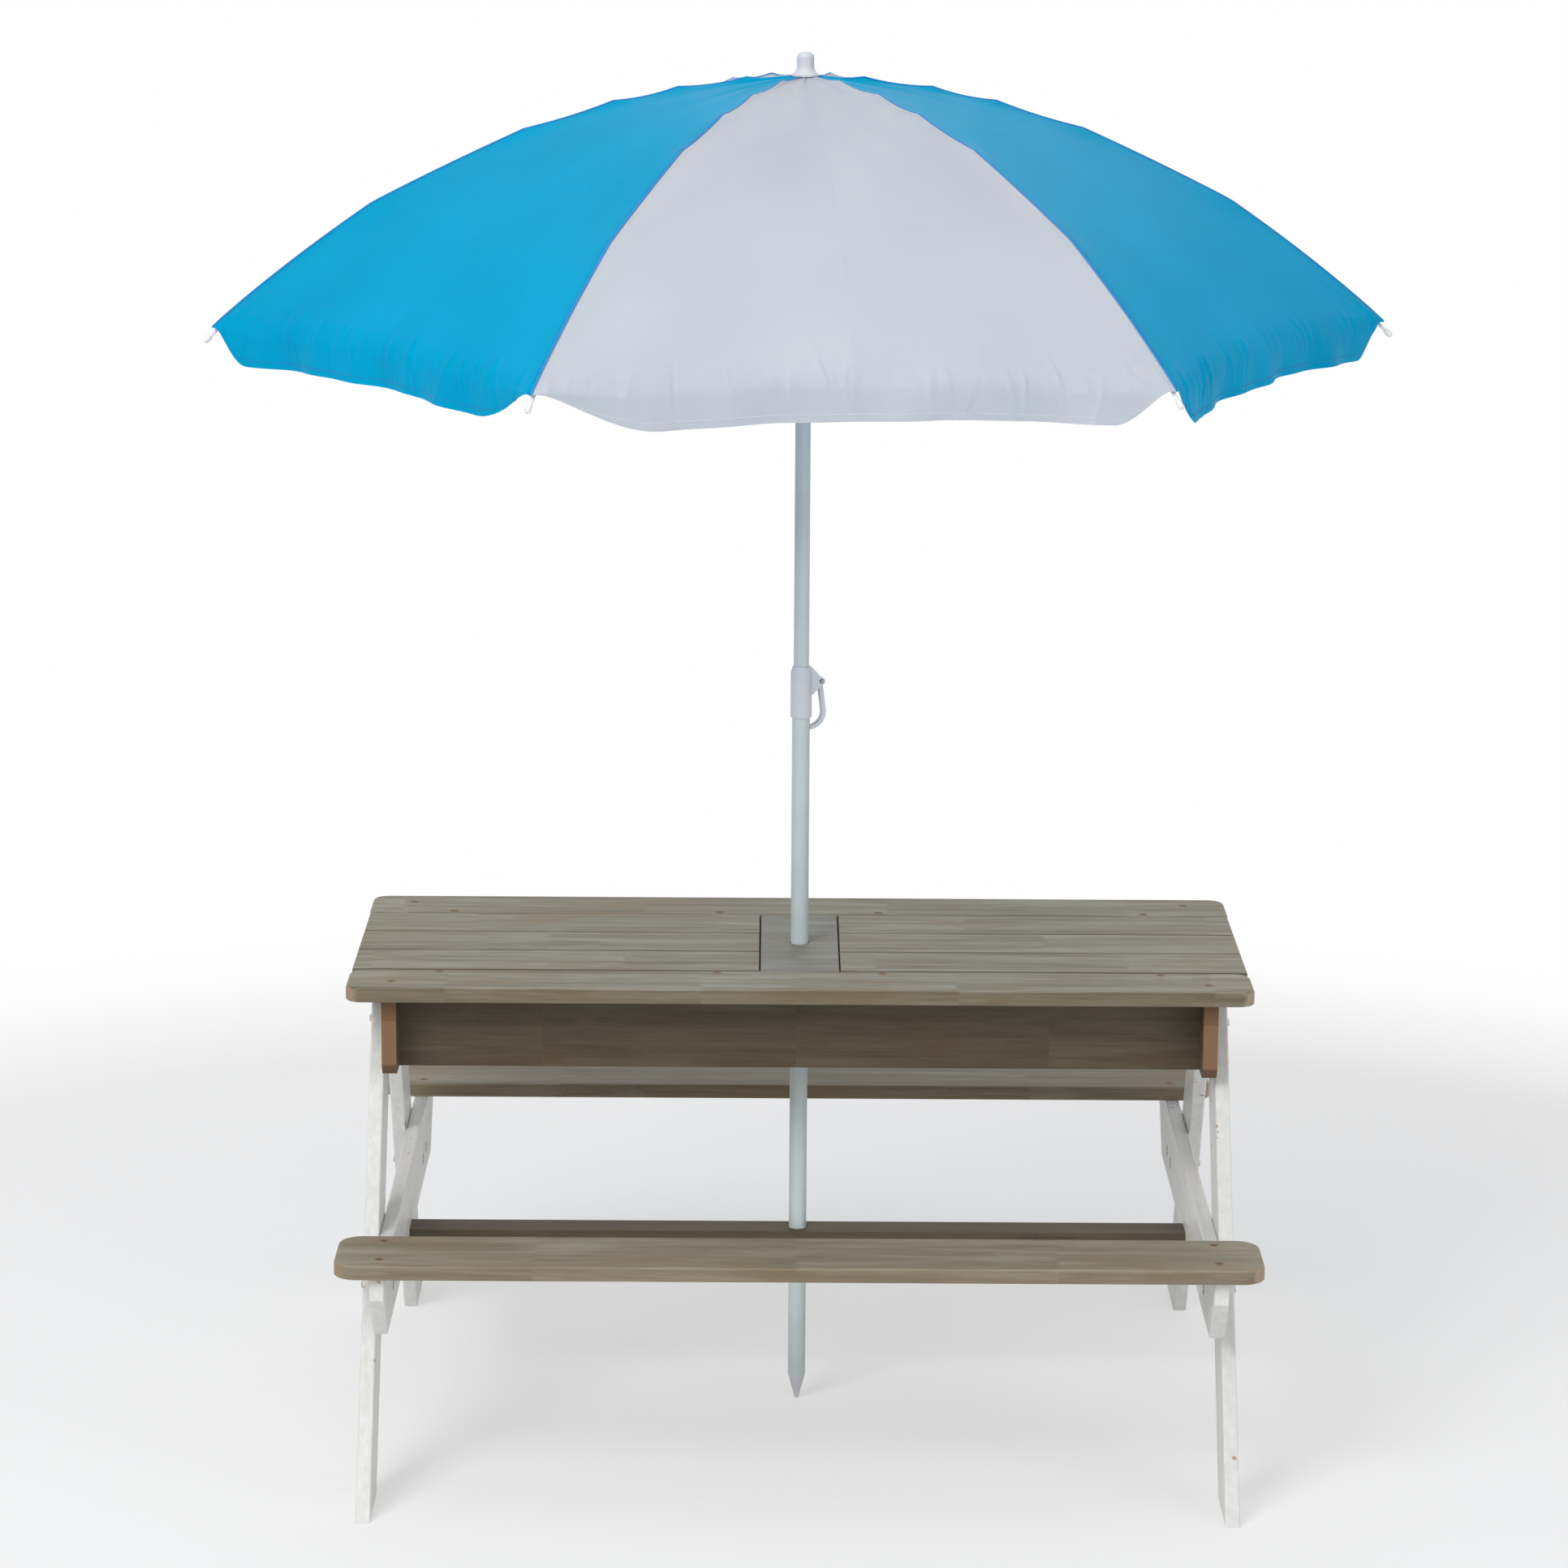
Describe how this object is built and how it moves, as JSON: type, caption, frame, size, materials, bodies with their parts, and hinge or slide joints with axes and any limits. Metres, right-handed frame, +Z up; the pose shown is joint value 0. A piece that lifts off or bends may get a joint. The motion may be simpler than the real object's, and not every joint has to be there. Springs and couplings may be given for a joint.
{
  "type": "picnic table with sandbox",
  "caption": "Low slatted picnic table for children with two benches, a sandbox under lift-out lids and a folding parasol through the middle.",
  "frame": {"origin": "on the ground under the middle of the table, on the pole's axis", "axes": "+X along the benches to the right, +Y towards the rear bench, +Z up"},
  "size_m": [1.2192, 1.1098, 1.4295],
  "materials": {
    "stained_wood": "grey stained, matt",
    "raw_wood": "raw, brown grey",
    "plywood": "raw plywood",
    "white_painted_wood": "white paint, satin",
    "zinc_screws": "zinc plated",
    "grey_coated_steel": "powder coated, satin",
    "white_coated_steel": "powder coated, satin",
    "grey_plastic": "moulded, matt",
    "white_plastic": "moulded, matt",
    "bright_rivet": "bright",
    "white_cloth": "woven polyester",
    "blue_cloth": "woven polyester"
  },
  "bodies": {
    "table": {"front_top_plank": "stained_wood", "front_bench": "stained_wood", "front_box_board": "raw_wood", "rear_top_plank": "stained_wood", "rear_bench": "stained_wood", "rear_box_board": "raw_wood", "left_top_beam": "raw_wood", "left_bench_beam": "white_painted_wood", "left_divider": "raw_wood", "left_floor_panel": "plywood", "left_front_leg": "white_painted_wood", "left_rear_leg": "white_painted_wood", "right_top_beam": "raw_wood", "right_bench_beam": "white_painted_wood", "right_divider": "raw_wood", "right_floor_panel": "plywood", "right_front_leg": "white_painted_wood", "right_rear_leg": "white_painted_wood", "centre_panel": "stained_wood", "panel_cleats": "raw_wood", "floor_battens": "raw_wood", "pole_rail": "raw_wood", "wood_screws": "zinc_screws", "leg_bolts": "zinc_screws"},
    "left_lid": {"left_lid_slats": "stained_wood", "left_lid_battens": "raw_wood", "left_lid_screws": "zinc_screws"},
    "right_lid": {"right_lid_slats": "stained_wood", "right_lid_battens": "raw_wood", "right_lid_screws": "zinc_screws"},
    "pole": {"lower_pole": "grey_coated_steel", "pole_spike": "grey_plastic", "clamp_sleeve": "grey_plastic", "clamp_rivet": "bright_rivet"},
    "clamp_lever": {"clamp_lever": "grey_plastic"},
    "mast": {"upper_pole": "grey_coated_steel", "crown": "white_plastic", "crown_pins": "zinc_screws", "finial": "grey_plastic"},
    "runner": {"runner": "white_plastic", "runner_pins": "zinc_screws"},
    "rib_1": {"rib_1": "white_coated_steel", "canopy_panel_1": "white_cloth"},
    "strut_1": {"strut_1": "white_coated_steel"},
    "rib_2": {"rib_2": "white_coated_steel", "canopy_panel_2": "blue_cloth"},
    "strut_2": {"strut_2": "white_coated_steel"},
    "rib_3": {"rib_3": "white_coated_steel", "canopy_panel_3": "white_cloth"},
    "strut_3": {"strut_3": "white_coated_steel"},
    "rib_4": {"rib_4": "white_coated_steel", "canopy_panel_4": "blue_cloth"},
    "strut_4": {"strut_4": "white_coated_steel"},
    "rib_5": {"rib_5": "white_coated_steel", "canopy_panel_5": "white_cloth"},
    "strut_5": {"strut_5": "white_coated_steel"},
    "rib_6": {"rib_6": "white_coated_steel", "canopy_panel_6": "blue_cloth"},
    "strut_6": {"strut_6": "white_coated_steel"}
  },
  "joints": [
    {"name": "left_lid_lift", "type": "slide", "parent": "table", "child": "left_lid", "axis": [0, 0, 1], "range_m": [0, 0.12]},
    {"name": "right_lid_lift", "type": "slide", "parent": "table", "child": "right_lid", "axis": [0, 0, 1], "range_m": [0, 0.12]},
    {"name": "parasol_lift", "type": "slide", "parent": "table", "child": "pole", "axis": [0, 0, 1], "range_m": [0, 0.5]},
    {"name": "pole_telescope", "type": "slide", "parent": "pole", "child": "mast", "axis": [0, 0, 1], "range_m": [-0.12, 0.12]},
    {"name": "clamp_lever", "type": "hinge", "parent": "pole", "child": "clamp_lever", "pos_m": [0.01858, 0.00866, 0.7795], "axis": [0.4226, -0.9063, 0], "range_deg": [0, 95]},
    {"name": "runner_slide", "type": "slide", "parent": "mast", "child": "runner", "axis": [0, 0, -1], "range_m": [0, 0.2637]},
    {"name": "rib_1_fold", "type": "hinge", "parent": "mast", "child": "rib_1", "pos_m": [0.01295, 0.00113, 1.394], "axis": [-0.0872, 0.9962, 0], "range_deg": [-0.2, 65.2], "deforming": ["canopy_panel_1"]},
    {"name": "strut_1_fold", "type": "hinge", "parent": "runner", "child": "strut_1", "pos_m": [0.01461, 0.00509, 1.225], "axis": [0.0872, -0.9962, 0], "range_deg": [-0.2, 41.5]},
    {"name": "rib_2_fold", "type": "hinge", "parent": "mast", "child": "rib_2", "pos_m": [0.00549, 0.01178, 1.394], "axis": [-0.9063, 0.4226, 0], "range_deg": [-0.2, 65.2], "deforming": ["canopy_panel_2"]},
    {"name": "strut_2_fold", "type": "hinge", "parent": "runner", "child": "strut_2", "pos_m": [0.0029, 0.0152, 1.225], "axis": [0.9063, -0.4226, 0], "range_deg": [-0.2, 41.5]},
    {"name": "rib_3_fold", "type": "hinge", "parent": "mast", "child": "rib_3", "pos_m": [-0.00746, 0.01065, 1.394], "axis": [-0.8192, -0.5736, 0], "range_deg": [-0.2, 65.2], "deforming": ["canopy_panel_3"]},
    {"name": "strut_3_fold", "type": "hinge", "parent": "runner", "child": "strut_3", "pos_m": [-0.01172, 0.01011, 1.225], "axis": [0.8192, 0.5736, 0], "range_deg": [-0.2, 41.5]},
    {"name": "rib_4_fold", "type": "hinge", "parent": "mast", "child": "rib_4", "pos_m": [-0.01295, -0.00113, 1.394], "axis": [0.0872, -0.9962, 0], "range_deg": [-0.2, 65.2], "deforming": ["canopy_panel_4"]},
    {"name": "strut_4_fold", "type": "hinge", "parent": "runner", "child": "strut_4", "pos_m": [-0.01461, -0.00509, 1.225], "axis": [-0.0872, 0.9962, 0], "range_deg": [-0.2, 41.5]},
    {"name": "rib_5_fold", "type": "hinge", "parent": "mast", "child": "rib_5", "pos_m": [-0.00549, -0.01178, 1.394], "axis": [0.9063, -0.4226, 0], "range_deg": [-0.2, 65.2], "deforming": ["canopy_panel_5"]},
    {"name": "strut_5_fold", "type": "hinge", "parent": "runner", "child": "strut_5", "pos_m": [-0.0029, -0.0152, 1.225], "axis": [-0.9063, 0.4226, 0], "range_deg": [-0.2, 41.5]},
    {"name": "rib_6_fold", "type": "hinge", "parent": "mast", "child": "rib_6", "pos_m": [0.00746, -0.01065, 1.394], "axis": [0.8192, 0.5736, 0], "range_deg": [-0.2, 65.2], "deforming": ["canopy_panel_6"]},
    {"name": "strut_6_fold", "type": "hinge", "parent": "runner", "child": "strut_6", "pos_m": [0.01172, -0.01011, 1.225], "axis": [-0.8192, -0.5736, 0], "range_deg": [-0.2, 41.5]}
  ],
  "couplings": [
    {"joint": "rib_1_fold", "follows": "runner_slide", "rad_per_m": 4.3021},
    {"joint": "strut_1_fold", "follows": "runner_slide", "rad_per_m": 2.7335},
    {"joint": "rib_2_fold", "follows": "runner_slide", "rad_per_m": 4.3021},
    {"joint": "strut_2_fold", "follows": "runner_slide", "rad_per_m": 2.7335},
    {"joint": "rib_3_fold", "follows": "runner_slide", "rad_per_m": 4.3021},
    {"joint": "strut_3_fold", "follows": "runner_slide", "rad_per_m": 2.7335},
    {"joint": "rib_4_fold", "follows": "runner_slide", "rad_per_m": 4.3021},
    {"joint": "strut_4_fold", "follows": "runner_slide", "rad_per_m": 2.7335},
    {"joint": "rib_5_fold", "follows": "runner_slide", "rad_per_m": 4.3021},
    {"joint": "strut_5_fold", "follows": "runner_slide", "rad_per_m": 2.7335},
    {"joint": "rib_6_fold", "follows": "runner_slide", "rad_per_m": 4.3021},
    {"joint": "strut_6_fold", "follows": "runner_slide", "rad_per_m": 2.7335}
  ]
}
